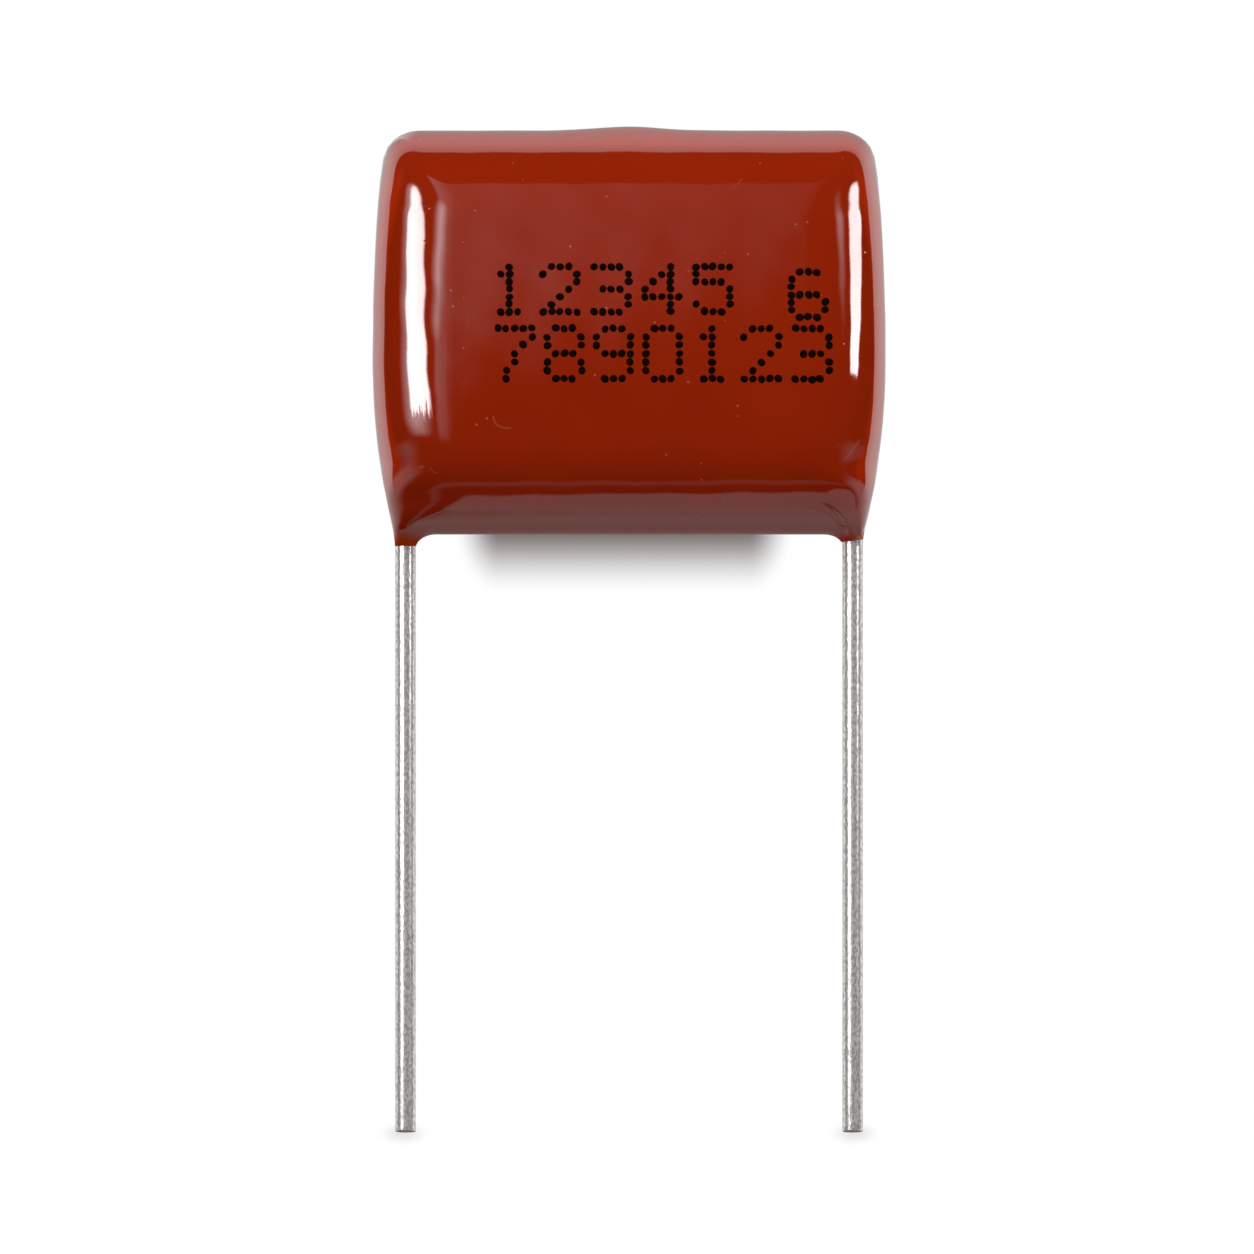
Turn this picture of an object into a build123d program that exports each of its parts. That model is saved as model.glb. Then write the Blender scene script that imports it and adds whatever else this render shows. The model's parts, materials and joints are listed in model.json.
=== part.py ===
from build123d import *
from math import hypot
import os

# Radial polyester film capacitor, dipped in epoxy, lying on its back.
# X runs across the two leads, Y from the lead tips to the head of the body,
# Z out of the printed face. The origin is midway between the lead axes, in the
# plane where the coating ends on the wires. All lengths are in millimetres.

# lead wires
lead_pitch = 17.5
lead_diameter = 0.8
lead_free_length = 23.0
shear_angle = 11.0

# coated body
body_width = 19.9
body_height = 15.8
body_thickness = 8.4
foot_above_tip = 0.45
face_crown_radius = 45.0
end_edge_radius = 1.6
rest_flat_depth = 0.05

# how the ends of the body swell: widest a little under mid height
widest_above_tip = 7.1
flank_radius_to_head = 100.0
flank_radius_to_foot = 28.5

# resin drawn down each wire into a horn, and the curve where it leaves the body
wire_skin = 0.04
horn_height = 2.4
horn_depth = 2.5
horn_reach = 3.0
horn_sections = 5
meniscus_radius = 0.8

# drop left at the middle of the head by dipping
nub_height = 0.16
nub_length = 7.0
nub_sink = 0.1
nub_crest_radius = 3.0
nub_blend_radius = 4.0

# wound element
film_width = 16.0
element_height = 14.6
element_thickness = 7.2
core_slit_width = 0.12

# sprayed metal on the two ends of the roll
spray_thickness = 0.5
spray_edge_chamfer = 0.2

# flattened, welded end of each wire
blade_thickness = 0.5
blade_width = 1.05
blade_start = 1.0
blade_top = 11.2
round_wire_end = 0.1
press_run_out = 0.02

half_pitch = lead_pitch / 2
lead_radius = lead_diameter / 2
skin_radius = lead_radius + wire_skin
body_centre_y = foot_above_tip + body_height / 2
head_y = foot_above_tip + body_height


def end_radius(height, thickness):
    """Radius of the round ends of an oval whose two faces are shallow arcs."""
    half_height, half_thickness = height / 2, thickness / 2
    rise = face_crown_radius**2 - (face_crown_radius - half_thickness) ** 2 - half_height**2
    return rise / (2 * (face_crown_radius - half_height))


def oval(height, thickness):
    """Pressed winding section in the YZ plane: two crowned faces, two round ends."""
    end_centre = height / 2 - end_radius(height, thickness)
    crown_drop = face_crown_radius - thickness / 2
    reach = face_crown_radius / hypot(end_centre, crown_drop)
    joint_y = end_centre * reach
    joint_z = crown_drop * reach - crown_drop
    front = ThreePointArc((-joint_y, joint_z), (0, thickness / 2), (joint_y, joint_z))
    head = ThreePointArc((joint_y, joint_z), (height / 2, 0), (joint_y, -joint_z))
    back = ThreePointArc((joint_y, -joint_z), (0, -thickness / 2), (-joint_y, -joint_z))
    foot = ThreePointArc((-joint_y, -joint_z), (-height / 2, 0), (-joint_y, joint_z))
    return Plane.YZ * Pos(body_centre_y, 0) * make_face([front, head, back, foot])


def winding_prism(height, thickness, width):
    """Oval section carried along X, centred between the leads."""
    return extrude(oval(height, thickness), amount=width / 2, both=True)


def flank(y):
    """Half width of the body at height y, from the two arcs of its end."""
    radius = flank_radius_to_head if y > widest_above_tip else flank_radius_to_foot
    return body_width / 2 - radius + (radius**2 - (y - widest_above_tip) ** 2) ** 0.5


def flank_arc(y_start, y_end):
    """Stretch of the right-hand end outline between two heights."""
    y_mid = (y_start + y_end) / 2
    return ThreePointArc((flank(y_start), y_start), (flank(y_mid), y_mid), (flank(y_end), y_end))


def front_outline():
    """Slab with the swelling ends of the body, running past its head and foot."""
    low = foot_above_tip - 1
    high = head_y + 1
    right = [flank_arc(low, widest_above_tip), flank_arc(widest_above_tip, high)]
    left = [mirror(arc, about=Plane.YZ) for arc in right]
    across = [Line((-flank(y), y), (flank(y), y)) for y in (low, high)]
    return extrude(make_face([*right, *left, *across]), amount=body_thickness, both=True)


def rounded_body():
    """Coated body with rounded ends, before resin is drawn down the wires."""
    body = winding_prism(body_height, body_thickness, body_width + 2) & front_outline()
    end_loops = [edge for edge in body.edges() if abs(edge.center().X) > half_pitch]
    return fillet(end_loops, end_edge_radius)


def horn_section(share):
    """Ellipse across the resin horn of the right-hand wire; share 0 is its tip."""
    level = share * horn_height
    tip_outer = half_pitch + skin_radius
    root_outer = flank(horn_height) - wire_skin
    outer = tip_outer + (root_outer - tip_outer) * share**1.4
    inner = half_pitch - skin_radius - horn_reach * share**1.3
    depth = skin_radius + (horn_depth - skin_radius) * share**1.7
    return Plane.XZ.offset(-level) * Pos((outer + inner) / 2, 0) * Ellipse((outer - inner) / 2, depth)


def resin_horn():
    """Resin that fills the lower corner of the body and thins out on the wire."""
    return loft([horn_section(step / (horn_sections - 1)) for step in range(horn_sections)])


def drip_nub():
    """Stretch of a large ring whose crest stands just proud of the middle of the head."""
    drop = nub_height + nub_sink
    crest_arc_radius = ((nub_length / 2) ** 2 + drop**2) / (2 * drop)
    ring = Torus(crest_arc_radius - nub_crest_radius, nub_crest_radius)
    kept = Box(nub_length, 4 * nub_crest_radius, 4 * nub_crest_radius)
    return Pos(0, head_y + nub_height - crest_arc_radius) * ring & Pos(0, head_y) * kept


def seam(body, low, high):
    """Free-form edges of the joined body that lie wholly between two heights."""
    boxes = [(edge, edge.bounding_box()) for edge in body.edges().filter_by(GeomType.BSPLINE)]
    return [edge for edge, box in boxes if low < box.min.Y and box.max.Y < high]


def coated_outside():
    """Outer form of the dipped body, still solid."""
    horn = resin_horn()
    body = rounded_body() + [horn, mirror(horn, about=Plane.YZ)]
    body = fillet(seam(body, wire_skin, horn_height), meniscus_radius)
    body += drip_nub()
    body = fillet(seam(body, head_y - nub_crest_radius / 2, head_y + nub_height), nub_blend_radius)
    back = -body_thickness / 2
    below = Pos(0, body_centre_y, back + rest_flat_depth - 1) * Box(2 * body_width, 2 * body_height, 2)
    return body - below


def film_roll_block():
    """Outer form of the pressed roll."""
    return winding_prism(element_height, element_thickness, film_width)


def film_roll():
    """Pressed roll of metallised film, with the closed slit left by the winding pin."""
    slit_height = element_height - element_thickness
    slit = Plane.YZ * Pos(body_centre_y, 0) * SlotOverall(slit_height, core_slit_width)
    return film_roll_block() - extrude(slit, amount=film_width, both=True)


def end_spray():
    """Metal sprayed over the right-hand end of the roll."""
    section = Pos(film_width / 2, 0, 0) * oval(element_height, element_thickness)
    layer = extrude(section, amount=spray_thickness)
    outer_loop = layer.faces().sort_by(Axis.X)[-1].edges()
    return chamfer(outer_loop, spray_edge_chamfer)


def sheared_off():
    """What the cutter takes from the right-hand tip: its end face looks a little upwards."""
    cut = Pos(half_pitch, -lead_free_length, -lead_radius) * Rot(-shear_angle, 0, 0)
    waste = Box(2 * lead_diameter, lead_diameter, 3 * lead_diameter)
    return cut * Pos(0, -lead_diameter / 2, lead_radius) * waste


def blade():
    """Inner stretch of the right-hand wire: flares sideways while two pressed flats close in on it."""
    flare_middle = Pos(0, (round_wire_end + blade_start) / 2) * Rot(-90, 0, 0)
    flare = flare_middle * Cone(lead_radius, blade_width / 2, blade_start - round_wire_end)
    rod_middle = Pos(0, (blade_start + blade_top) / 2) * Rot(-90, 0, 0)
    rod = rod_middle * Cylinder(blade_width / 2, blade_top - blade_start)
    press_opening = lead_radius + press_run_out
    flat = blade_thickness / 2
    left = [(-press_opening, round_wire_end), (-flat, blade_start), (-flat, blade_top)]
    right = [(-x, y) for x, y in reversed(left)]
    pressed = extrude(make_face(Polyline(*left, *right, close=True)), amount=blade_width, both=True)
    return Pos(half_pitch, 0) * ((flare + rod) & pressed)


def lead():
    """Right-hand wire: round outside the body, pressed flat where it is welded."""
    round_section = Plane.XZ.offset(-round_wire_end) * Pos(half_pitch, 0) * Circle(lead_radius)
    wire = extrude(round_section, amount=lead_free_length + round_wire_end)
    return wire - sheared_off() + blade()


def build():
    right_lead, right_spray = lead(), end_spray()
    left_lead, left_spray = (mirror(piece, about=Plane.YZ) for piece in (right_lead, right_spray))
    inside = [film_roll_block(), right_spray, left_spray, right_lead, left_lead]
    return {
        "epoxy_coating": coated_outside() - inside,
        "film_roll": film_roll(),
        "end_spray_left": left_spray,
        "end_spray_right": right_spray,
        "lead_left": left_lead,
        "lead_right": right_lead,
    }


os.makedirs("parts", exist_ok=True)
for node, shape in build().items():
    export_step(shape, f"parts/{node}.step")
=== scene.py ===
import json
import bpy
import numpy as np
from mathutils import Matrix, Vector


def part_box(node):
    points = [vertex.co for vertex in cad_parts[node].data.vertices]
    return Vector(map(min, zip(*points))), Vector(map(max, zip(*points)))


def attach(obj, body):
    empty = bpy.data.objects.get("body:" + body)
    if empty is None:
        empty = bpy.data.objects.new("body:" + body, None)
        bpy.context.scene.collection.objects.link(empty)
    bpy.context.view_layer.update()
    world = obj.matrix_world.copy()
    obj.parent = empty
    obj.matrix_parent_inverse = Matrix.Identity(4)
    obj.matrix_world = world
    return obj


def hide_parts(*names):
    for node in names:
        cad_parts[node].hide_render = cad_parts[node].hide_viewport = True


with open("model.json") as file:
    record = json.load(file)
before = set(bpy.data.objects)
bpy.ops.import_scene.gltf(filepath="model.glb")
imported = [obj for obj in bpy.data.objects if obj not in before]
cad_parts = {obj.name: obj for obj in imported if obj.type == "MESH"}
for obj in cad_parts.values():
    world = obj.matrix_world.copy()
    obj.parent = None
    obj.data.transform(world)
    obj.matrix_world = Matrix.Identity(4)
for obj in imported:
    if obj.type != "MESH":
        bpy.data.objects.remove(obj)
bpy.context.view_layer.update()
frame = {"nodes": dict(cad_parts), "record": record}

mm = 0.001
scene = bpy.context.scene
mounts = {mount["name"]: mount for mount in frame["record"]["mounts"]}


# small helpers for shapes

def boxInMm(node):
    # lowest and highest corner of a CAD node's box
    low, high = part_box(node)
    return np.array(low) / mm, np.array(high) / mm


def smoothStep(value, low, high):
    # 0 below low, 1 above high, a smooth S between them
    share = np.clip((value - low) / (high - low), 0.0, 1.0)
    return share * share * (3.0 - 2.0 * share)


def addPiece(name, points, faces, replaced=None):
    # points in millimetres and faces as index rows become one smooth object that rides on the root
    mesh = bpy.data.meshes.new(name)
    mesh.from_pydata((points * mm).tolist(), [], faces)
    mesh.polygons.foreach_set("use_smooth", np.ones(len(mesh.polygons), bool))
    mesh.update()
    piece = bpy.data.objects.new(name, mesh)
    scene.collection.objects.link(piece)
    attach(piece, "root")
    if replaced:
        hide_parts(replaced)
    print("piece", name, len(mesh.polygons), "faces")
    return piece


def tubeFaces(rings, around, flip=False):
    # quads between neighbouring rings of a grid that closes round each ring, stored ring by ring
    ring, spoke = np.meshgrid(np.arange(rings - 1), np.arange(around), indexing="ij")
    after = (spoke + 1) % around
    quads = np.stack([ring * around + spoke, ring * around + after,
                      (ring + 1) * around + after, (ring + 1) * around + spoke], -1).reshape(-1, 4)
    return quads[:, ::-1] if flip else quads


def poleFaces(firstOfRing, pole, around, flip=False):
    # triangles from one ring to the single point that closes it
    spoke = np.arange(around)
    tris = np.stack([firstOfRing + spoke, firstOfRing + (spoke + 1) % around, np.full(around, pole)], -1)
    return tris[:, ::-1] if flip else tris


def closedTube(rings, around):
    # faces of a tube of rings, then of its first end (pole next to last) and of its last end (last pole)
    count = rings * around
    return (tubeFaces(rings, around).tolist() + poleFaces(0, count, around, flip=True).tolist()
            + poleFaces(count - around, count + 1, around).tolist())


# the camera looks straight down on the printed face and has the leads below the body

cameraLook = {"distance": 200.0, "fieldWidth": 49.08, "aimX": -0.08, "aimY": -3.17, "sensor": 36.0,
              "clip": (0.01, 5.0)}  # lengths in millimetres, clip in metres


def makeCamera(look):
    # focal length = sensor times distance over the width of the field
    camera = bpy.data.objects.new("camera", bpy.data.cameras.new("camera"))
    scene.collection.objects.link(camera)
    camera.location = Vector((look["aimX"], look["aimY"], look["distance"])) * mm
    camera.data.sensor_width = look["sensor"]
    camera.data.lens = look["sensor"] * look["distance"] / look["fieldWidth"]
    camera.data.clip_start, camera.data.clip_end = look["clip"]
    scene.camera = camera
    print("camera at", look["distance"], "mm")


makeCamera(cameraLook)


# the dipped coating: one closed skin, the zero level of a field in millimetres that is negative inside

wireLow, wireHigh = boxInMm("lead_right")
skinLow, skinHigh = boxInMm("epoxy_coating")
wireX = mounts["lead_pair"]["dims"]["spacing_x_mm"] / 2
wireRadius = mounts["lead_pair"]["dims"]["stud_r_mm"]

coatForm = {
    # the pressed oval and the two arcs of each flank
    "halfWidth": skinHigh[0], "halfThick": skinHigh[2], "restZ": skinLow[2], "topY": skinHigh[1],
    "footY": 0.45, "headY": 16.25, "crownRadius": 45.0, "arcEnds": (-2.0, 20.0),
    "widestY": 7.1, "flankHead": 100.0, "flankFoot": 28.5, "flankBlend": 0.15,
    # elliptical round between faces and flanks, into each of the two: at mid height, and at the corners
    "faceEdge": (2.2, 3.0), "cornerEdge": (1.2, 1.35), "cornerFrom": (4.6, 7.4),
    # at the foot the round follows these instead, from low to high; it is almost nothing at the wires
    "footDeep": 1.0, "footWideLeft": (0.6, 3.6), "footWideRight": (0.6, 1.9), "footWidens": (0.3, 2.1),
    "footSpread": (1.6, 3.2), "footDepth": (0.2, 1.0),
    "wireEdge": 0.03, "deepFrom": (-0.2, 2.2), "wideFrom": (-0.4, 1.2),
    # resin horns: powers of the height give their outline and depth
    "hornHeight": 2.4, "hornDepth": 2.9, "hornPower": 1.3, "hornReach": 3.0, "hornInPower": 1.6,
    "hornLean": 2.4, "hornOutPower": 1.2, "skin": 0.015, "lipRise": 0.2, "lipLean": 0.12,
    # fillets between horns and oval: general, and on the printed face left and right
    "meniscus": 0.55, "frontMeniscusLeft": 0.9, "frontMeniscusRight": 1.0, "frontFrom": (0.3, 1.6),
    "meniscusEnds": (1.8, 3.2), "thinnestFillet": 0.02,
    # drip nub at the head and furrow at the right foot
    "nubSpread": (1.8125, 1.5), "nubFrom": (2.5, 0.5),
    "crease": ((7.3, 1.6), (8.4, 0.6)), "creaseBend": 0.12, "creaseWide": 0.10, "creaseDeep": 0.06,
    "creaseStart": 0.1, "creaseFade": 0.5, "creaseFrom": (0.1, 0.5),
    # ripple: shares of two pairs of crossed waves, each wave in radians per millimetre and with its start
    "ripple": 0.0045, "rippleCentre": 1.6, "rippleFrom": (0.4, 2.0),
    "waves": ((1.0, (1.9, 0.8, 0.0, 1.1), (-0.5, 1.3, 0.7, 0.0)),
              (0.6, (1.7, 3.1, 0.0, 2.0), (0.9, 0.0, -1.2, 0.4))),
}
# how the skin is sampled: a fan of planes at each foot, upright planes between them, rays round each plane
coatGrid = {
    "pivotX": 7.2, "pivotY": -0.3, "firstTilt": (17.0, 24.0), "fanRings": 84, "midRings": 58, "around": 256,
    "probe": (0.02, 19.0, 1600), "tallest": 6.0, "furthest": 1.9, "topFrom": 1.0, "topReach": 4.0,
}


def ovalGap(y, z, form):
    # distance to the pressed oval: shallow crown arcs on the faces, round arcs at head and foot
    halfHeight = (form["headY"] - form["footY"]) / 2
    crown, thick = form["crownRadius"], form["halfThick"]
    rise = crown**2 - (crown - thick) ** 2 - halfHeight**2
    endRadius = rise / (2 * (crown - halfHeight))
    fromMid = np.abs(y - form["footY"] - halfHeight)
    endCentre, drop = halfHeight - endRadius, crown - thick
    toCrown = np.hypot(fromMid, np.abs(z) + drop) - crown
    toEnd = np.hypot(fromMid - endCentre, z) - endRadius
    onCrown = fromMid * drop < (np.abs(z) + drop) * endCentre
    return np.where(onCrown, toCrown, toEnd)


def flankAt(y, form):
    # half width of the body: two arcs that meet at its widest height
    radius = np.where(y > form["widestY"], form["flankHead"], form["flankFoot"])
    return form["halfWidth"] - radius + np.sqrt(radius**2 - (y - form["widestY"]) ** 2)


def softUnion(a, b, reach):
    # the smaller of two fields, with a fillet of about that reach where they meet
    blend = np.maximum(reach - np.abs(a - b), 0) / reach
    return np.minimum(a, b) - blend * blend * reach / 4


def lipAt(x, form):
    # where the coat ends on the wires: level on the left, higher and tilted on the right
    return np.where(x > 0, form["lipRise"] + form["lipLean"] * (x - wireX), 0.0)


def hornGap(x, y, z, form):
    # elliptic cone round each wire: it opens as powers of the height above the lip and runs on past the
    # flank, which cuts it
    lip = lipAt(x, form)
    share = np.clip((y - lip) / form["hornHeight"], 0, 1)
    skinRadius = wireRadius + form["skin"]
    reachOut = wireX + skinRadius + form["hornLean"] * share ** form["hornOutPower"]
    reachIn = wireX - skinRadius - form["hornReach"] * share ** form["hornInPower"]
    depth = skinRadius + (form["hornDepth"] - skinRadius) * share ** form["hornPower"]
    halfLength = (reachOut - reachIn) / 2
    across = (np.abs(x) - (reachOut + reachIn) / 2) / halfLength
    cone = (np.hypot(across, z / depth) - 1) * np.minimum(halfLength, depth)
    return np.maximum(cone, np.maximum(y - form["hornHeight"], lip - y))


def creaseAt(x, y, form):
    # share of a soft furrow on a bent line between the two ends of the crease: a bell across the line times
    # a power of a half wave along it
    start, end = np.array(form["crease"])
    run = end - start
    share = np.clip(((x - start[0]) * run[0] + (y - start[1]) * run[1]) / (run @ run), 0, 1)
    bend = form["creaseBend"] * np.sin(np.pi * share)
    aside = np.hypot(x - start[0] - share * run[0] - bend, y - start[1] - share * run[1] - bend)
    along = np.sin(np.pi * np.clip(form["creaseStart"] + share, 0, 1)) ** form["creaseFade"]
    return np.exp(-(aside / form["creaseWide"]) ** 2) * along


def rippleAt(x, y, z, form):
    # the pairs of crossed waves added up, less their centre, fading in above the lips
    wave = 0
    for share, *pair in form["waves"]:
        first, second = (np.sin(ax * x + ay * y + az * z + start) for ax, ay, az, start in pair)
        wave = wave + share * first * second
    return form["ripple"] * (wave - form["rippleCentre"]) * smoothStep(y, *form["rippleFrom"])


def profileGap(x, y, z, form):
    # the oval, raised by a bell at the head (the drip nub), joined to the horns by a fillet that is wider
    # on the printed face and closes above the foot
    wide, deep = form["nubSpread"]
    nub = (form["topY"] - form["headY"]) * np.exp(-(x / wide) ** 2 - (z / deep) ** 2)
    oval = ovalGap(y, z, form) - nub * smoothStep(y, *(form["headY"] - np.array(form["nubFrom"])))
    front = np.where(x < 0, form["frontMeniscusLeft"], form["frontMeniscusRight"])
    reach = form["meniscus"] + (front - form["meniscus"]) * smoothStep(z, *form["frontFrom"])
    reach = reach * (1 - smoothStep(y, *form["meniscusEnds"])) + form["thinnestFillet"]
    return softUnion(oval, hornGap(x, y, z, form), reach)


def edgeRound(x, y, z, form):
    # the two half axes of the round: mid-height ones mixed with corner ones by the distance from mid
    # height, then with foot ones near the foot, then scaled down to almost nothing at the wires
    fromMid = np.abs(y - (form["footY"] + form["headY"]) / 2)
    atCorner = smoothStep(fromMid, *form["cornerFrom"])
    deep = form["faceEdge"][0] + (form["cornerEdge"][0] - form["faceEdge"][0]) * atCorner
    wide = form["faceEdge"][1] + (form["cornerEdge"][1] - form["faceEdge"][1]) * atCorner
    atFoot = (1 - smoothStep(y, *form["footSpread"])) * smoothStep(np.abs(z), *form["footDepth"])
    near, far = (np.where(x < 0, *pair) for pair in zip(form["footWideLeft"], form["footWideRight"]))
    footWide = near + (far - near) * smoothStep(y, *form["footWidens"])
    deep = deep + (form["footDeep"] - deep) * atFoot
    wide = wide + (footWide - wide) * atFoot
    least = form["wireEdge"]
    onDeep, onWide = (least + (1 - least) * smoothStep(y, *form[key]) for key in ("deepFrom", "wideFrom"))
    return deep * onDeep, wide * onWide


def coatGap(x, y, z, form):
    # the profile and the flanks, each as a distance in units of its half axis, meet in an elliptical round;
    # then the slight ripple and the furrow
    deep, wide = edgeRound(x, y, z, form)
    outer = flankAt(np.clip(y, *form["arcEnds"]), form)
    skinX = wireX + wireRadius + form["skin"]
    outer = -softUnion(-outer, np.full_like(outer, -skinX), form["flankBlend"])
    a = profileGap(x, y, z, form) / deep + 1
    b = (np.abs(x) - outer) / wide + 1
    field = (np.minimum(np.maximum(a, b), 0) + np.hypot(np.maximum(a, 0), np.maximum(b, 0)) - 1) * deep
    furrow = form["creaseDeep"] * creaseAt(x, y, form) * smoothStep(z, *form["creaseFrom"])
    return field - rippleAt(x, y, z, form) + furrow


def fanPlan(side, firstTilt, form, grid):
    # planes that fan out from a line just under the foot, from the wire to upright; each gives the middle
    # and the half length of what it cuts from the body
    tilt = np.radians(np.linspace(firstTilt, 90, grid["fanRings"]))
    outward = np.stack([side * np.cos(tilt), np.sin(tilt), np.zeros_like(tilt)], -1)
    pivot = np.array([side * grid["pivotX"], grid["pivotY"], 0.0])
    reach = np.linspace(*grid["probe"])
    onLine = pivot + reach[None, :, None] * outward[:, None, :]
    inside = coatGap(onLine[..., 0], onLine[..., 1], onLine[..., 2], form) < 0
    first = reach[inside.argmax(1)]
    last = reach[inside.shape[1] - 1 - inside[:, ::-1].argmax(1)]
    return pivot + ((first + last) / 2)[:, None] * outward, outward, (last - first) / 2


def ringPlan(form, grid):
    # the left fan, upright planes across the body, then the right fan backwards
    left, leftOutward, leftLengths = fanPlan(-1, grid["firstTilt"][0], form, grid)
    right, rightOutward, rightLengths = fanPlan(1, grid["firstTilt"][1], form, grid)
    midX = np.linspace(-grid["pivotX"], grid["pivotX"], grid["midRings"] + 2)[1:-1]
    middle = np.stack([midX, np.full_like(midX, left[-1, 1]), np.zeros_like(midX)], -1)
    midOutward = np.tile([0.0, 1.0, 0.0], (len(midX), 1))
    return (np.concatenate([left, middle, right[::-1]]),
            np.concatenate([leftOutward, midOutward, rightOutward[::-1]]),
            np.concatenate([leftLengths, np.full_like(midX, leftLengths[-1]), rightLengths[::-1]]))


def firstCrossing(origin, direction, field, longest, steps=30, halvings=22):
    # walks each ray outwards until the field turns positive, then halves the last step
    travelled = np.zeros(origin.shape[:-1])
    walking = np.ones(origin.shape[:-1], bool)
    stride = longest / steps
    for _ in range(steps):
        ahead = origin + (travelled + stride)[..., None] * direction
        walking &= field(ahead[..., 0], ahead[..., 1], ahead[..., 2]) < 0
        travelled = np.where(walking, travelled + stride, travelled)
    low, high = travelled, travelled + stride
    for _ in range(halvings):
        middle = (low + high) / 2
        at = origin + middle[..., None] * direction
        isInside = field(at[..., 0], at[..., 1], at[..., 2]) < 0
        low, high = np.where(isInside, middle, low), np.where(isInside, high, middle)
    return origin + ((low + high) / 2)[..., None] * direction


def makeCoating(form, grid):
    # rays leave the middle of each plane along cos(angle) times its half length and sin(angle) times its
    # half depth; where they cross the field is the skin, closed by a lip and a pole on each wire
    field = lambda x, y, z: coatGap(x, y, z, form)
    centres, outward, halfLengths = ringPlan(form, grid)
    upward = np.tile([0.0, 0.0, 1.0], (len(centres), 1))
    halfDepths = firstCrossing(centres, upward, field, grid["tallest"])[:, 2]
    angle = np.linspace(0, 2 * np.pi, grid["around"], endpoint=False)
    rays = (np.cos(angle)[None, :, None] * (halfLengths[:, None] * outward)[:, None, :]
            + np.sin(angle)[None, :, None] * (halfDepths[:, None] * upward)[:, None, :])
    origins = np.broadcast_to(centres[:, None, :], rays.shape)
    skin = firstCrossing(origins, rays, field, grid["furthest"])
    skin[..., 2] = np.maximum(skin[..., 2], form["restZ"])  # the flat it rests on
    lipX, lipZ = (wireRadius + form["skin"]) * np.stack([np.cos(angle), np.sin(angle)])
    lipX = np.stack([-wireX - lipX, wireX + lipX])
    lips = np.stack([lipX, lipAt(lipX, form), np.broadcast_to(lipZ, lipX.shape)], -1)
    rings = np.concatenate([lips[:1], skin, lips[1:]])
    poles = np.array([[-wireX, 0.0, 0.0], [wireX, form["lipRise"], 0.0]])
    points = np.concatenate([rings.reshape(-1, 3), poles])
    return addPiece("dipped_coating", points, closedTube(*rings.shape[:2]), "epoxy_coating")


coating = makeCoating(coatForm, coatGrid)


def coatTop(x, y, form, grid):
    # height of the printed face above the wire plane at any place: where a ray upwards leaves the coat
    start = np.stack([x, y, np.full_like(x, grid["topFrom"])], -1)
    up = np.broadcast_to([0.0, 0.0, 1.0], start.shape)
    return firstCrossing(start, up, lambda a, b, c: coatGap(a, b, c, form), grid["topReach"])[..., 2]


# the printed marking: plain running digits in ink-jet dots

inkPrint = {
    # digits, left edge, top edge, step between characters, step between rows
    "lines": (("12345", -5.41, 10.81, 1.95, 0.288), ("6", 6.05, 10.60, 1.95, 0.288),
              ("789012", -5.20, 8.44, 1.89, 0.322), ("3", 6.20, 8.44, 1.89, 0.322)),
    "columnStep": 0.325, "dotRadius": 0.170, "dotHeight": 0.012, "sunk": 0.03, "scatter": 0.012,
    "radiusSpread": (0.92, 1.05), "wobble": 0.06, "turnMost": 6.3, "seed": 5,
    # shoulder and rim of a dot: shares of its radius and of its height
    "ringShares": (0.72, 1.0), "ringLifts": (0.75, -0.4), "around": 12,
}
digitShapes = {
    "0": ".###. #...# #...# #...# #...# #...# .###.",
    "1": "..#.. .##.. ..#.. ..#.. ..#.. ..#.. .###.",
    "2": ".###. #...# ....# ...#. ..#.. .#... #####",
    "3": "####. ....# ....# .###. ....# ....# ####.",
    "4": "...#. ..##. .#.#. #..#. ##### ...#. ...#.",
    "5": "##### #.... ####. ....# ....# #...# .###.",
    "6": ".###. #.... #.... ####. #...# #...# .###.",
    "7": "##### ....# ...#. ..#.. ..#.. .#... .#...",
    "8": ".###. #...# #...# .###. #...# #...# .###.",
    "9": ".###. #...# #...# .#### ....# ....# .###.",
}


def inkDotCentres(look):
    # one dot for each mark of each digit: characters step to the right, rows step down
    spots = []
    for text, startX, startY, charStep, rowStep in look["lines"]:
        for place, digit in enumerate(text):
            marks = np.array([[mark == "#" for mark in row] for row in digitShapes[digit].split()])
            row, column = np.nonzero(marks)
            x = startX + place * charStep + look["dotRadius"] + column * look["columnStep"]
            spots.append(np.stack([x, startY - look["dotRadius"] - row * rowStep], -1))
    return np.concatenate(spots)


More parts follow.
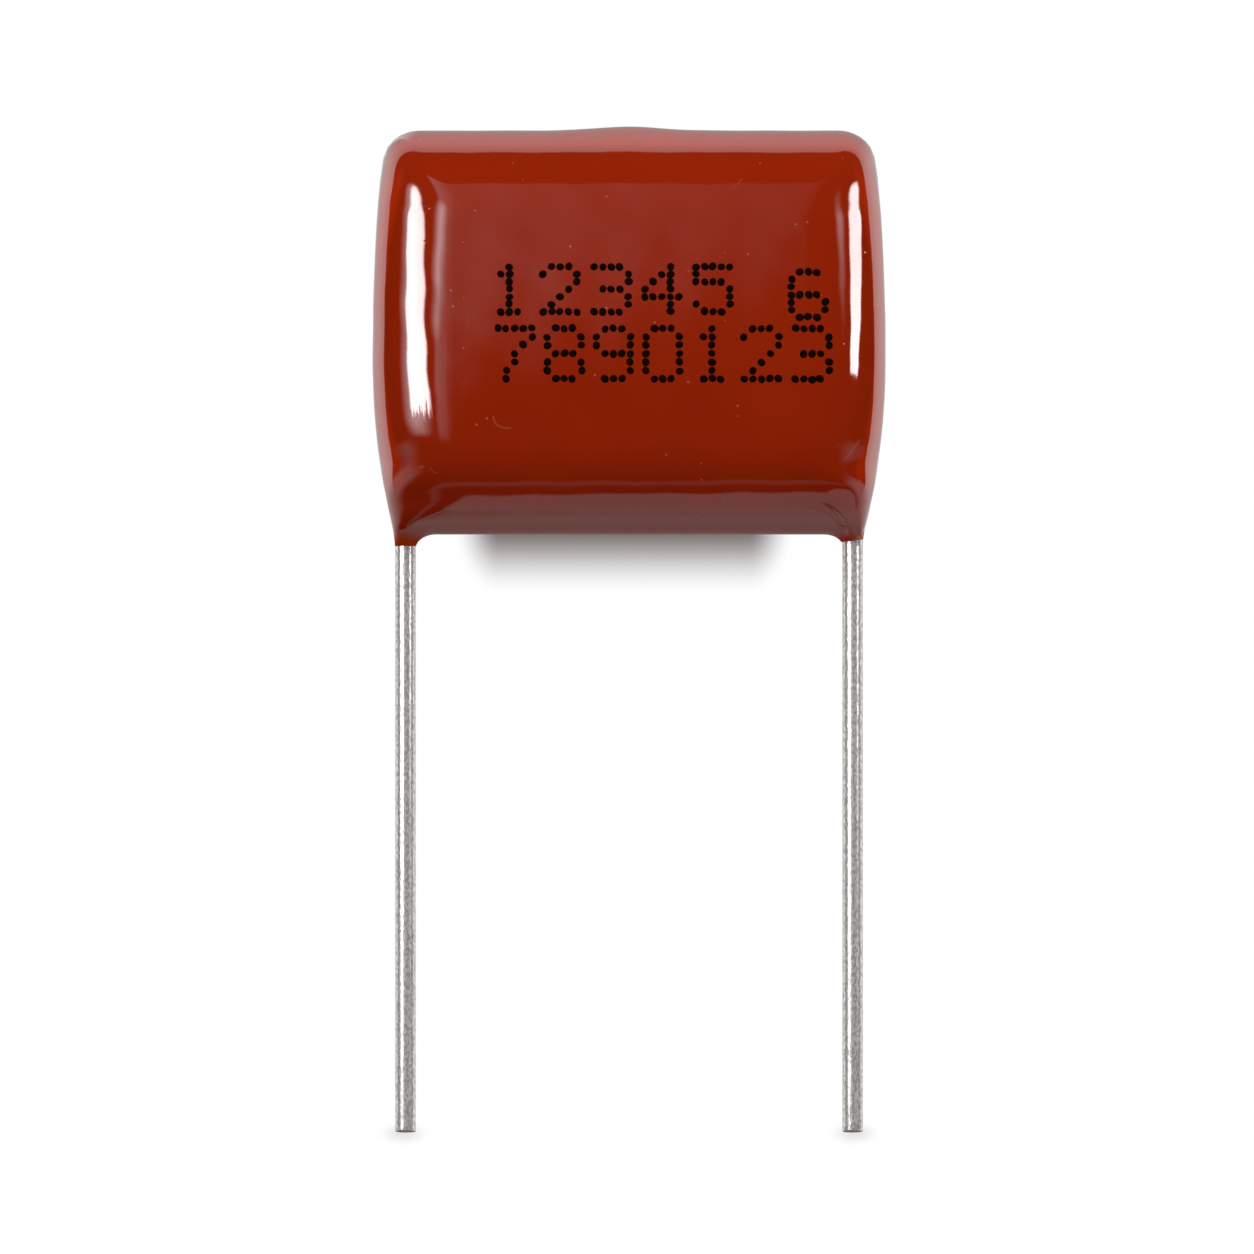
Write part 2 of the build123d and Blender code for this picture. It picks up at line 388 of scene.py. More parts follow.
def makeInk(look, form, grid):
    # each dot is a low closed dome that follows the face: a crown, a shoulder, a rim sunk in the resin and a
    # point below; its radius = its own random size times a slight wobble of two waves round it
    rng = np.random.default_rng(look["seed"])
    centres = inkDotCentres(look)
    centres = centres + rng.normal(0, look["scatter"], centres.shape)
    radius = look["dotRadius"] * rng.uniform(*look["radiusSpread"], len(centres))
    angle = np.linspace(0, 2 * np.pi, look["around"], endpoint=False)
    phase = rng.uniform(0, look["turnMost"], len(centres))
    wobble = 1 + look["wobble"] * np.sin(2 * angle[None, :] + phase[:, None])
    ring = radius[:, None, None] * np.array(look["ringShares"])[None, :, None] * wobble[:, None, :]
    spots = centres[:, None, None, :] + ring[..., None] * np.stack([np.cos(angle), np.sin(angle)], -1)
    rise = np.broadcast_to((look["dotHeight"] * np.array(look["ringLifts"]))[None, :, None], ring.shape)
    flat = np.concatenate([spots.reshape(len(centres), -1, 2), centres[:, None, :], centres[:, None, :]], 1)
    ends = np.tile([look["dotHeight"], -look["sunk"]], (len(centres), 1))
    lift = np.concatenate([rise.reshape(len(centres), -1), ends], 1)
    height = coatTop(flat[..., 0], flat[..., 1], form, grid) + lift
    points = np.concatenate([flat, height[..., None]], -1)
    around, perDot = look["around"], points.shape[1]
    first = np.arange(len(centres))[:, None, None] * perDot
    sides = (first + tubeFaces(2, around, flip=True)[None]).reshape(-1, 4)
    crown = (first + poleFaces(0, 2 * around, around)[None]).reshape(-1, 3)
    base = (first + poleFaces(around, 2 * around + 1, around, flip=True)[None]).reshape(-1, 3)
    faces = sides.tolist() + crown.tolist() + base.tolist()
    return addPiece("marking_ink", points.reshape(-1, 3), faces)


ink = makeInk(inkPrint, coatForm, coatGrid)


# the two tinned wires: drawn round, sheared at a slant, squeezed to a flat blade inside the resin

leadForm = {
    "tipY": wireLow[1], "shear": 0.16, "shearFade": 0.6, "tipRound": 0.03,
    "flareFrom": 0.1, "bladeStart": 1.0, "bladeTop": wireHigh[1],
    "bladeHalfWide": wireHigh[2], "bladeHalfThick": 0.25, "pressOpen": 0.42,
    # waves of the wander in radians per millimetre
    "wander": 0.006, "wanderFrom": (0.3, 2.0), "waves": (2.3, 5.9), "secondShare": 0.7, "around": 72,
    # places of the rings from the tip onwards: at the tip, on the free wire, round the flare, on the blade
    "tipRings": (0.0, 0.012, 0.03), "freeRings": (0.06, 24.0, 150), "flareRings": (24.1, 25.4, 14),
    "bladeFrom": 26.0, "bladeRings": 24, "lastStep": 0.02,
}


def makeLead(side, look, name, node):
    # a circle swept along the wire: its radius wanders inwards by two sine waves, grows along the flare while
    # x is clipped to the closing press gap, and rounds off at the tip, where y rises with z (the shear)
    length = look["bladeTop"] - look["tipY"]
    blade = np.linspace(look["bladeFrom"], length - look["lastStep"], look["bladeRings"])
    along = np.concatenate([look["tipRings"], np.linspace(*look["freeRings"]),
                            np.linspace(*look["flareRings"]), blade, [length]])
    angle = np.linspace(0, 2 * np.pi, look["around"], endpoint=False)
    along, turn = np.meshgrid(along, angle, indexing="ij")
    y = look["tipY"] + along
    flare = np.clip((y - look["flareFrom"]) / (look["bladeStart"] - look["flareFrom"]), 0, 1)
    beforeRound = np.clip(1 - along / look["tipRound"], 0, 1)
    end = look["tipRound"] * (1 - np.sqrt(1 - beforeRound**2))
    free = smoothStep(-y, *look["wanderFrom"])
    slow, fast = (rate * y for rate in look["waves"])
    wave = np.sin(slow + side) + look["secondShare"] * np.sin(fast + 2 * side + turn)
    swell = 1 + look["wander"] * free * wave
    radius = (wireRadius + (look["bladeHalfWide"] - wireRadius) * flare - end) * np.minimum(swell, 1.0)
    flat = look["pressOpen"] + (look["bladeHalfThick"] - look["pressOpen"]) * flare
    x, z = np.clip(radius * np.cos(turn), -flat, flat), radius * np.sin(turn)
    y = y + look["shear"] * np.clip(1 - along / look["shearFade"], 0, 1) * (1 + z / wireRadius) / 2
    points = np.stack([side * wireX + x, y, z], -1)
    ends = np.array([[side * wireX, look["tipY"] + look["shear"] / 2, 0.0],
                     [side * wireX, look["bladeTop"], 0.0]])
    points = np.concatenate([points.reshape(-1, 3), ends])
    return addPiece(name, points, closedTube(*along.shape), node)


leads = [makeLead(-1, leadForm, "tinned_lead_left", "lead_left"),
         makeLead(1, leadForm, "tinned_lead_right", "lead_right")]


# small helpers for materials; a term is either a number (or a row of them) or the output of another node

def newMaterial(name):
    # a material with its node tree and its main shader
    material = bpy.data.materials.new(name)
    material.use_nodes = True
    return material, material.node_tree, material.node_tree.nodes["Principled BSDF"]


def feed(tree, socket, term):
    # an output is linked to the socket, a number becomes its own value
    if isinstance(term, bpy.types.NodeSocket):
        tree.links.new(term, socket)
    else:
        socket.default_value = term


def newNode(tree, kind, operation=None, **terms):
    # a shader node with its operation set and its named inputs fed
    node = tree.nodes.new("ShaderNode" + kind)
    if operation:
        node.operation = operation
    for key, term in terms.items():
        feed(tree, node.inputs[key], term)
    return node


def setShader(tree, shader, terms):
    # feeds the shader's own sockets by their names
    for key, term in terms.items():
        feed(tree, shader.inputs[key], term)


def calc(tree, operation, *terms):
    # result of a Math node that takes its terms in order
    node = newNode(tree, "Math", operation)
    for socket, term in zip(node.inputs, terms):
        feed(tree, socket, term)
    return node.outputs[0]


def vectorCalc(tree, operation, *terms):
    # the same with vectors; three of the operations give a number
    node = newNode(tree, "VectorMath", operation)
    for socket, term in zip(node.inputs, terms):
        feed(tree, socket, term)
    return node.outputs["Value" if operation in ("DISTANCE", "DOT_PRODUCT", "LENGTH") else "Vector"]


def product(tree, *terms):
    # all terms multiplied, two at a time
    total = terms[0]
    for term in terms[1:]:
        total = calc(tree, "MULTIPLY", total, term)
    return total


def mapRange(tree, source, start, end, low=0.0, high=1.0, kind="SMOOTHSTEP"):
    # low at start, high at end, and between them a smooth S, or with kind LINEAR a straight line
    ramp = newNode(tree, "MapRange")
    ramp.interpolation_type = kind
    keys = ("Value", "From Min", "From Max", "To Min", "To Max")
    for key, term in zip(keys, (source, start, end, low, high)):
        feed(tree, ramp.inputs[key], term)
    return ramp.outputs["Result"]


def noiseAt(tree, place, scale, detail, stretch=None):
    # a cloud with values round 0.5; stretch scales the place along each axis first
    if stretch:
        place = newNode(tree, "Mapping", Vector=place, Scale=stretch).outputs[0]
    return newNode(tree, "TexNoise", Vector=place, Scale=scale, Detail=detail).outputs["Fac"]


def mixColors(tree, share, first, second):
    # the first colour where share is 0, the second where it is 1
    mix = newNode(tree, "Mix")
    mix.data_type = "RGBA"
    for key, term in (("Factor", share), ("A", first), ("B", second)):
        feed(tree, mix.inputs[key], term)
    return mix.outputs["Result"]


def bumpFrom(tree, height, depth, **under):
    # normal of a surface that stands out by height times depth in metres, perhaps on top of another normal
    return newNode(tree, "Bump", Height=height, Distance=depth, Strength=1.0, **under).outputs[0]


# the resin; pairs of millimetres run from where an effect is nil to where it is full

epoxyLook = {
    "color": (0.330, 0.0205, 0.0026, 1), "shade": (0.285, 0.0155, 0.0020, 1), "mottle": 260.0,
    "thinColor": (0.50, 0.045, 0.003, 1), "thinFrom": (0.7, 0.0),
    # dust and painted glints: specks, scratches, and curled pale marks round a point near each foot; the
    # curls are painted glints of small dents and wrinkles in the resin
    "speckColor": (0.42, 0.095, 0.045, 1), "specks": 2200.0, "speckEdge": (0.12, 0.048), "speckShare": 0.2,
    "speckHeight": 0.000003, "faint": 0.45,
    "scratches": 130.0, "scratchLevel": 0.5, "scratchWide": 0.0026, "scratchWhere": 650.0,
    "scratchShare": (0.66, 0.69),
    "curlCentre": (8.3, 2.8, 3.6), "curlReach": (1.25, 0.875), "curls": 1500.0, "curlLevel": 0.53,
    "curlWide": 0.014, "curlBits": 1900.0, "curlShare": (0.60, 0.64),
    # painted light on the rims: the base colour is made brighter on all that lies lower than the face, the
    # back too, and more so on the two flanks
    "paintedEdgeLight": 0.28, "rimZ": (2.75, 2.35), "rimY": (0.8, 2.8),
    "flankZ": (3.35, 3.05), "flankX": (8.5, 8.9), "flankHeadY": (15.2, 13.8), "flankFootY": (0.8, 3.4),
    "flankMost": 1.7,
    # gloss: full above the lips on the wires
    "roughness": 0.05, "glossRoughness": 0.04, "specular": 0.5, "glossY": (0.1, 1.1),
    "peel": 900.0, "peelDepth": 0.000004,
}


def inMetres(lengths):
    # millimetres times 0.001, for places in the shader
    return tuple(length * mm for length in lengths)


def epoxyDustAndGlints(tree, place, fromMiddle, y, z, look):
    # share of dust and painted glints = the larger of a speck, where the distance to a scattered point is
    # small and that point's random number is low, and a fainter thin line on the level lines of a cloud,
    # where a second cloud is high; scratches have a coarse cloud and lie anywhere, curls a fine one and lie
    # near a point that is mirrored to both feet; the curls are pale marks painted as glints of small dents
    # and wrinkles
    scatter = newNode(tree, "TexVoronoi", Vector=place, Scale=look["specks"])
    random = newNode(tree, "SeparateColor", Color=scatter.outputs["Color"]).outputs[0]
    speck = product(tree, mapRange(tree, scatter.outputs["Distance"], *look["speckEdge"]),
                    calc(tree, "LESS_THAN", random, look["speckShare"]))
    offLevel = calc(tree, "SUBTRACT", noiseAt(tree, place, look["scratches"], 1.0), look["scratchLevel"])
    scratch = product(tree, mapRange(tree, calc(tree, "ABSOLUTE", offLevel), look["scratchWide"], 0.0),
                      mapRange(tree, noiseAt(tree, place, look["scratchWhere"], 1.0), *look["scratchShare"]))
    folded = newNode(tree, "CombineXYZ", X=fromMiddle, Y=y, Z=z).outputs[0]
    fromCentre = vectorCalc(tree, "DISTANCE", folded, inMetres(look["curlCentre"]))
    near = product(tree, mapRange(tree, fromCentre, *inMetres(look["curlReach"])),
                   mapRange(tree, noiseAt(tree, place, look["curlBits"], 0.0), *look["curlShare"]))
    onLevel = calc(tree, "COMPARE", noiseAt(tree, place, look["curls"], 0.0),
                   look["curlLevel"], look["curlWide"])
    lines = calc(tree, "MAXIMUM", product(tree, onLevel, near), scratch)
    return calc(tree, "MAXIMUM", product(tree, lines, look["faint"]), speck)


def paintedRimLight(tree, fromMiddle, y, z, look):
    # painted light: the base colour is scaled by 1 plus the gain times the larger of two shares: 1 on all
    # resin lower than the face, down to the back, and flankMost on the flanks between foot and head; both are
    # nil at the foot
    rim = product(tree, mapRange(tree, z, *inMetres(look["rimZ"])),
                  mapRange(tree, y, *inMetres(look["rimY"])))
    flank = product(tree, mapRange(tree, z, *inMetres(look["flankZ"])),
                    mapRange(tree, fromMiddle, *inMetres(look["flankX"])),
                    mapRange(tree, y, *inMetres(look["flankHeadY"])),
                    mapRange(tree, y, *inMetres(look["flankFootY"]), 0.0, look["flankMost"]))
    return calc(tree, "MULTIPLY_ADD", calc(tree, "MAXIMUM", rim, flank), look["paintedEdgeLight"], 1.0)


def epoxyMaterial(look):
    # colour = two reds mixed by a soft cloud, then by dust and painted glints, then times the painted light
    # on the rims, and redder where the resin thins out on the wires; height = fine orange peel with the dust
    # and glint marks on it; gloss = a clear coat that fades out at the lips on the wires, as the specular
    # level does
    material, tree, shader = newMaterial("brick red epoxy")
    place = newNode(tree, "TexCoord").outputs["Object"]
    x, y, z = newNode(tree, "SeparateXYZ", Vector=place).outputs
    fromMiddle = calc(tree, "ABSOLUTE", x)
    red = mixColors(tree, noiseAt(tree, place, look["mottle"], 3.0), look["color"], look["shade"])
    # dust and painted glints: the curls near the feet are pale marks painted as glints
    dustAndGlints = epoxyDustAndGlints(tree, place, fromMiddle, y, z, look)
    dustyAndGlinting = mixColors(tree, dustAndGlints, red, look["speckColor"])
    # painted light: the rims and flanks get a brighter base colour
    paintedLight = paintedRimLight(tree, fromMiddle, y, z, look)
    lit = newNode(tree, "VectorMath", "SCALE", Vector=dustyAndGlinting, Scale=paintedLight).outputs[0]
    thinned = mixColors(tree, mapRange(tree, y, *inMetres(look["thinFrom"])), lit, look["thinColor"])
    peel = bumpFrom(tree, noiseAt(tree, place, look["peel"], 2.0), look["peelDepth"])
    grit = bumpFrom(tree, dustAndGlints, look["speckHeight"], Normal=peel)
    shiny = mapRange(tree, y, *inMetres(look["glossY"]))
    setShader(tree, shader, {
        "Base Color": thinned, "Normal": grit, "Coat Normal": grit, "Coat Weight": shiny,
        "Specular IOR Level": product(tree, shiny, look["specular"]),
        "Coat Roughness": look["glossRoughness"], "Roughness": look["roughness"]})
    return material


inkLook = {"color": (0.0035, 0.0015, 0.0012, 1), "thin": (0.012, 0.004, 0.003, 1), "blotch": 2500.0,
           "roughness": 0.8, "specular": 0.0}


def inkMaterial(look):
    # colour = dense and thin ink mixed by a fine cloud; fully matt
    material, tree, shader = newMaterial("black marking ink")
    cloud = noiseAt(tree, newNode(tree, "TexCoord").outputs["Object"], look["blotch"], 2.0)
    setShader(tree, shader, {"Base Color": mixColors(tree, cloud, look["color"], look["thin"]),
                             "Roughness": look["roughness"], "Specular IOR Level": look["specular"]})
    return material


tinLook = {
    "color": (0.82, 0.797, 0.765, 1), "dull": (0.46, 0.44, 0.42, 1), "metallic": 0.40,
    "roughness": (0.15, 0.26), "roughFrom": (0.35, 0.65),
    "grain": 10000.0, "grainFrom": (0.40, 0.60), "stretch": (1.0, 0.6, 1.0), "grainDepth": 0.000006,
}
tinLooks = {-1: tinLook, 1: dict(tinLook, grainDepth=0.000008)}  # left and right wire
cutLook = dict(tinLook, color=(0.42, 0.40, 0.38, 1), dull=(0.20, 0.19, 0.18, 1), roughness=(0.5, 0.6),
               stretch=(1, 1, 1))


def tinMaterial(look):
    # colour = bright and dull tin mixed by a grain drawn out along the wire; the grain is also its height
    # and its roughness, between the two values
    material, tree, shader = newMaterial("tinned wire")
    grain = noiseAt(tree, newNode(tree, "TexCoord").outputs["Object"], look["grain"], 3.0, look["stretch"])
    share = mapRange(tree, grain, *look["grainFrom"])
    setShader(tree, shader, {
        "Base Color": mixColors(tree, share, look["color"], look["dull"]),
        "Normal": bumpFrom(tree, grain, look["grainDepth"]),
        "Roughness": mapRange(tree, grain, *look["roughFrom"], *look["roughness"], "LINEAR"),
        "Metallic": look["metallic"]})
    return material


filmLook = {"color": (0.66, 0.66, 0.68, 1), "dull": (0.50, 0.50, 0.53, 1), "metallic": 0.8, "roughness": 0.3,
            "bands": 900.0, "wavy": 1.5}


def filmMaterial(look):
    # colour = two silvers mixed by wavy bands that run round the roll, like the edges of its many turns
    material, tree, shader = newMaterial("metallised film")
    place = newNode(tree, "TexCoord").outputs["Object"]
    turns = newNode(tree, "TexWave", Vector=place, Scale=look["bands"], Distortion=look["wavy"], Detail=2.0)
    turns.bands_direction = "Z"
    setShader(tree, shader, {"Base Color": mixColors(tree, turns.outputs["Fac"], look["color"], look["dull"]),
                             "Metallic": look["metallic"], "Roughness": look["roughness"]})
    return material


sprayLook = {"color": (0.36, 0.36, 0.37, 1), "dull": (0.22, 0.22, 0.23, 1), "metallic": 0.5, "roughness": 0.7,
             "grain": 6000.0, "grainDepth": 0.00002}


def sprayMaterial(look):
    # colour = dark and light zinc mixed by a coarse cloud, which is also the height of the sprayed grain
    material, tree, shader = newMaterial("sprayed zinc")
    grain = noiseAt(tree, newNode(tree, "TexCoord").outputs["Object"], look["grain"], 3.0)
    setShader(tree, shader, {
        "Base Color": mixColors(tree, grain, look["dull"], look["color"]),
        "Normal": bumpFrom(tree, grain, look["grainDepth"]),
        "Metallic": look["metallic"], "Roughness": look["roughness"]})
    return material


coating.data.materials.append(epoxyMaterial(epoxyLook))
ink.data.materials.append(inkMaterial(inkLook))
cutEnd = tinMaterial(cutLook)
for side, lead in zip((-1, 1), leads):
    lead.data.materials.append(tinMaterial(tinLooks[side]))
    lead.data.materials.append(cutEnd)
    onTip = np.zeros(len(lead.data.polygons), np.int32)
    onTip[-2 * leadForm["around"]:-leadForm["around"]] = 1  # the triangles of the sheared tip
    lead.data.polygons.foreach_set("material_index", onTip)
inside = {"film_roll": filmMaterial(filmLook)}
inside["end_spray_left"] = inside["end_spray_right"] = sprayMaterial(sprayLook)
for node, material in inside.items():
    frame["nodes"][node].data.materials.clear()
    frame["nodes"][node].data.materials.append(material)
print("materials ready")


# plain studio: a pale floor, a white surround for the camera, lamps and cards to the left and right

floorLook = {
    "radius": 45.0, "middleY": 3.0, "corners": 96, "color": (0.92, 0.92, 0.92, 1.0), "roughness": 1.0,
    "specular": 0.0,
    # the window in which the real shadow shows, and the small shade under each wire tip
    "shadowCentre": (-0.2, 2.4), "shadowHalf": (6.9, 4.4), "shadowRound": (2.0, 3.2),
    "shadowEdge": (0.1, 1.0),
    "tipShade": 0.22, "tipAside": 9.0, "tipAlong": -23.4, "tipHalf": (1.15, 0.55),
}


def roundedMask(tree, place, centre, half, corner, *ramp):
    # distance past a rounded box in units of its corner, mapped smoothly by the ramp
    folded = vectorCalc(tree, "ABSOLUTE", vectorCalc(tree, "SUBTRACT", place, (*centre, 0)))
    core = (half[0] - corner[0], half[1] - corner[1], 1.0)  # so deep that z never counts
    past = vectorCalc(tree, "SUBTRACT", folded, core)
    past = vectorCalc(tree, "MAXIMUM", past, (0, 0, 0))
    distance = vectorCalc(tree, "LENGTH", vectorCalc(tree, "DIVIDE", past, (*corner, 1)))
    return mapRange(tree, distance, *ramp)


def makeFloor(look):
    # the floor is matt and pale; outside the shadow window the camera sees it as plain white, times the
    # shades under the tips
    angle = np.linspace(0, 2 * np.pi, look["corners"], endpoint=False)
    rim = np.stack([look["radius"] * np.cos(angle), look["radius"] * np.sin(angle) + look["middleY"],
                    np.full_like(angle, skinLow[2])], -1) * mm
    mesh = bpy.data.meshes.new("floor")
    mesh.from_pydata(rim.tolist(), [], [list(range(len(angle)))])
    floor = bpy.data.objects.new("floor", mesh)
    scene.collection.objects.link(floor)
    material, tree, shader = newMaterial("pale floor")
    setShader(tree, shader, {"Base Color": look["color"], "Roughness": look["roughness"],
                             "Specular IOR Level": look["specular"]})
    place = newNode(tree, "TexCoord").outputs["Object"]
    window = [inMetres(look[key]) for key in ("shadowCentre", "shadowHalf", "shadowRound")]
    outside = roundedMask(tree, place, *window, *look["shadowEdge"])
    tipHalf = inMetres(look["tipHalf"])
    tips = [roundedMask(tree, place, inMetres((side * look["tipAside"], look["tipAlong"])), tipHalf, tipHalf,
                        0.0, 1.0, 1.0 - look["tipShade"]) for side in (-1, 1)]
    white = newNode(tree, "Emission", Strength=product(tree, *tips))
    blend = newNode(tree, "MixShader")
    seen = product(tree, outside, newNode(tree, "LightPath").outputs["Is Camera Ray"])
    for socket, term in zip(blend.inputs, (seen, shader.outputs[0], white.outputs[0])):
        tree.links.new(term, socket)
    tree.links.new(blend.outputs[0], tree.nodes["Material Output"].inputs["Surface"])
    mesh.materials.append(material)
    floor.visible_glossy = False
    print("floor radius", look["radius"], "mm")


makeFloor(floorLook)

worldLook = {
    "skyDiffuse": 0.27,
    # card and lit gap beyond the leads, in degrees from straight above the part; widths as sines
    "cardBelow": 76.0, "cardEdge": 0.006, "cardSlant": 0.28, "cardGlow": 0.42,
    "gapAt": 61.5, "gapReach": (0.035, 0.03), "gapGlow": 0.17,
    # dim panel towards the head, in degrees the other way, with its share of glow from left to right
    "panelTop": 53.0, "panelEdge": 0.012, "panelBend": -0.12, "panelSlant": 2.3, "panelFade": (-0.02, 0.24),
    "panelGlow": 0.85, "panelAcross": ((-0.31, 0.0), (-0.24, 0.85), (-0.10, 0.55), (-0.04, 0.30), (0.0, 0.20),
                                       (0.05, 0.13), (0.12, 0.08), (0.30, 0.0)),
    # ground: shares of glow by bearing (-1 towards the leads, 1 towards the head) and by depth; a dark sector
    "groundTop": (-0.13, -0.17), "groundDepth": (-0.95, -0.35), "groundDeep": 0.46, "groundGlow": 1.3,
    "groundAround": ((-1.0, 0.29), (-0.75, 0.29), (-0.35, 1.0), (0.45, 1.0), (0.85, 0.60), (1.0, 0.58)),
    "darkToward": (-0.37, -0.93), "darkWithin": (0.93, 0.975), "darkAbove": (-0.52, -0.42),
    # skirt: a glow at both sides of the leads that fades out upwards
    "skirtTop": (0.72, 0.36), "skirtGlow": 0.5,
    "skirtAround": ((-1.0, 0.0), (-0.82, 0.0), (-0.70, 1.0), (-0.42, 1.0), (-0.26, 0.0), (1.0, 0.0)),
}


def fillRamp(tree, source, stops):
    # the source value, from -1 to 1, turned into grey by a colour ramp with stops given as (place, grey)
    unit = mapRange(tree, source, -1.0, 1.0, kind="LINEAR")
    ramp = newNode(tree, "ValToRGB", Fac=unit)
    elements = ramp.color_ramp.elements
    elements[0].position, elements[1].position = (stops[0][0] + 1) / 2, (stops[-1][0] + 1) / 2
    for place, grey in stops[1:-1]:
        elements.new((place + 1) / 2)
    for element, (place, grey) in zip(elements, stops):
        element.color = (grey, grey, grey, 1)
    return ramp.outputs["Color"]


def upperGlow(tree, x, y, look):
    # glow = a card beyond the leads with a slanting edge, plus a thin lit gap nearer than it, plus a panel
    # towards the head, brightest on its left, which ends at panelTop and fades out along a slanting line
    card, gap, top = np.sin(np.radians([look["cardBelow"], look["gapAt"], look["panelTop"]]))
    edge, (before, after) = look["cardEdge"], look["gapReach"]
    along = fillRamp(tree, calc(tree, "MULTIPLY_ADD", x, -look["cardSlant"], y),
                     ((-card - edge, look["cardGlow"]), (-card + edge, 0.0), (-gap - before, 0.0),
                      (-gap, look["gapGlow"]), (-gap + after, 0.0)))
    slanting = calc(tree, "MULTIPLY_ADD", calc(tree, "MAXIMUM", x, look["panelBend"]), -look["panelSlant"], y)
    panel = product(tree, mapRange(tree, y, top + look["panelEdge"], top - look["panelEdge"]),
                    mapRange(tree, slanting, *look["panelFade"]), fillRamp(tree, x, look["panelAcross"]))
    return calc(tree, "MULTIPLY_ADD", panel, look["panelGlow"], along)


def groundGlow(tree, direction, z, look):
    # glow = the larger of the ground, by bearing and depth and without its dark sector, and of the skirt
    level = vectorCalc(tree, "NORMALIZE", vectorCalc(tree, "MULTIPLY", direction, (1, 1, 0)))
    bearing = newNode(tree, "SeparateXYZ", Vector=level).outputs["Y"]
    toward = vectorCalc(tree, "DOT_PRODUCT", level, (*look["darkToward"], 0))
    dark = product(tree, mapRange(tree, toward, *look["darkWithin"]), mapRange(tree, z, *look["darkAbove"]))
    ground = product(tree, fillRamp(tree, bearing, look["groundAround"]),
                     mapRange(tree, z, *look["groundDepth"], look["groundDeep"]),
                     mapRange(tree, z, *look["groundTop"]), calc(tree, "SUBTRACT", 1.0, dark),
                     look["groundGlow"])
    skirt = product(tree, fillRamp(tree, bearing, look["skirtAround"]), mapRange(tree, z, *look["skirtTop"]),
                    look["skirtGlow"])
    return calc(tree, "MAXIMUM", skirt, ground)


def makeWorld(look):
    # camera rays see white, diffuse rays an even sky, glossy rays the larger of upper and ground glow
    world = bpy.data.worlds.new("studio")
    scene.world = world
    world.use_nodes = True
    tree = world.node_tree
    tree.nodes.clear()
    direction = newNode(tree, "TexCoord").outputs["Generated"]
    x, y, z = newNode(tree, "SeparateXYZ", Vector=direction).outputs
    glow = calc(tree, "MAXIMUM", groundGlow(tree, direction, z, look), upperGlow(tree, x, y, look))
    ray = newNode(tree, "LightPath")
    room = newNode(tree, "Mix", Factor=ray.outputs["Is Glossy Ray"], A=look["skyDiffuse"], B=glow)
    seen = calc(tree, "MAXIMUM", room.outputs["Result"], ray.outputs["Is Camera Ray"])
    back = newNode(tree, "Background", Color=(1, 1, 1, 1), Strength=seen)
    tree.links.new(back.outputs[0], newNode(tree, "OutputWorld").inputs[0])
    print("world ready")


makeWorld(worldLook)

# lamps light the part evenly from both sides; angles in degrees, aside to the right, low and high towards
# the head
lamps = {
    "lampLeft": {"aside": -38, "wide": 34, "low": 20, "high": 42, "distance": 320, "glow": 7.0},
    "lampRight": {"aside": 38, "wide": 34, "low": 20, "high": 42, "distance": 320, "glow": 7.0},
}


def makeLamp(name, look):
    # a sheet parallel to the long axis of the part, turned to face it; power = glow times pi times its area
    aside, reach = np.radians(look["aside"]), look["distance"] * mm
    low, high = reach * np.tan(np.radians([look["low"], look["high"]]))
    lamp = bpy.data.objects.new(name, bpy.data.lights.new(name, "AREA"))
    scene.collection.objects.link(lamp)
    lamp.location = (np.sin(aside) * reach, (low + high) / 2, np.cos(aside) * reach)
    lamp.rotation_euler = (0.0, aside, 0.0)
    lamp.data.shape = "RECTANGLE"
    lamp.data.size = 2 * reach * np.tan(np.radians(look["wide"] / 2))
    lamp.data.size_y = high - low
    lamp.data.energy = look["glow"] * np.pi * lamp.data.size * lamp.data.size_y
    lamp.visible_glossy = False
    print("lamp", name, "power", round(lamp.data.energy, 3))


for name, look in lamps.items():
    makeLamp(name, look)

# reflector cards that only shine in glossy surfaces; inner and outer edges are given at the low and the
# high end
cards = {
    "cardLeft": {
        "aside": -42, "inner": (21, 1), "outer": (-8, -25), "low": -6.5, "high": 31, "distance": 300,
        "round": (0.5, 0.4), "skew": 0.24, "ragged": 0.04, "soft": 0.3, "headShare": 0.82, "glow": 12.0,
    },
    "haloLeft": {
        "aside": -42, "inner": (24, 0), "outer": (-20, -31), "low": -13, "high": 32, "distance": 304,
        "round": (0.5, 0.14), "skew": 0.20, "ragged": 0.0, "soft": 1.0, "headShare": 1.0, "glow": 2.6,
    },
    "cardRight": {
        "aside": 64, "inner": (-14, -8), "outer": (-2, 28), "low": -0.2, "high": 27.0, "distance": 300,
        "round": (0.5, 0.4), "skew": 0.36, "ragged": 0.04, "soft": 0.3, "headShare": 0.82, "glow": 12.0,
    },
    "stripLeft": {
        "aside": -17, "inner": (12, 9), "outer": (-7, -10), "low": 1, "high": 33, "distance": 300,
        "round": (0.5, 0.3), "skew": 0.0, "ragged": 0.0, "soft": 1.0, "headShare": 1.0, "glow": 2.2,
    },
    "stripRight": {
        "aside": 43, "inner": (-9, -9), "outer": (6, 9), "low": 2, "high": 33, "distance": 300,
        "round": (0.5, 0.7), "skew": 0.0, "ragged": 0.0, "soft": 1.0, "headShare": 1.0, "glow": 2.2,
    },
}
# what all cards share, along a map that runs from 0 to 1 across and up each of them; a ragged card has its
# outline taller than itself, so that only its torn foot ends it below
cardGrain = {
    "rows": 13, "torn": (14.0, 1.0, 1.0), "tornGain": 4, "tornTop": 0.6, "footEdge": 0.03,
    "half": 0.5, "raggedHalf": 0.75, "streaks": (9.0, 1.6, 1.0), "uneven": (0.72, 1.3),
    "dimFrom": (0.15, 0.45),
}


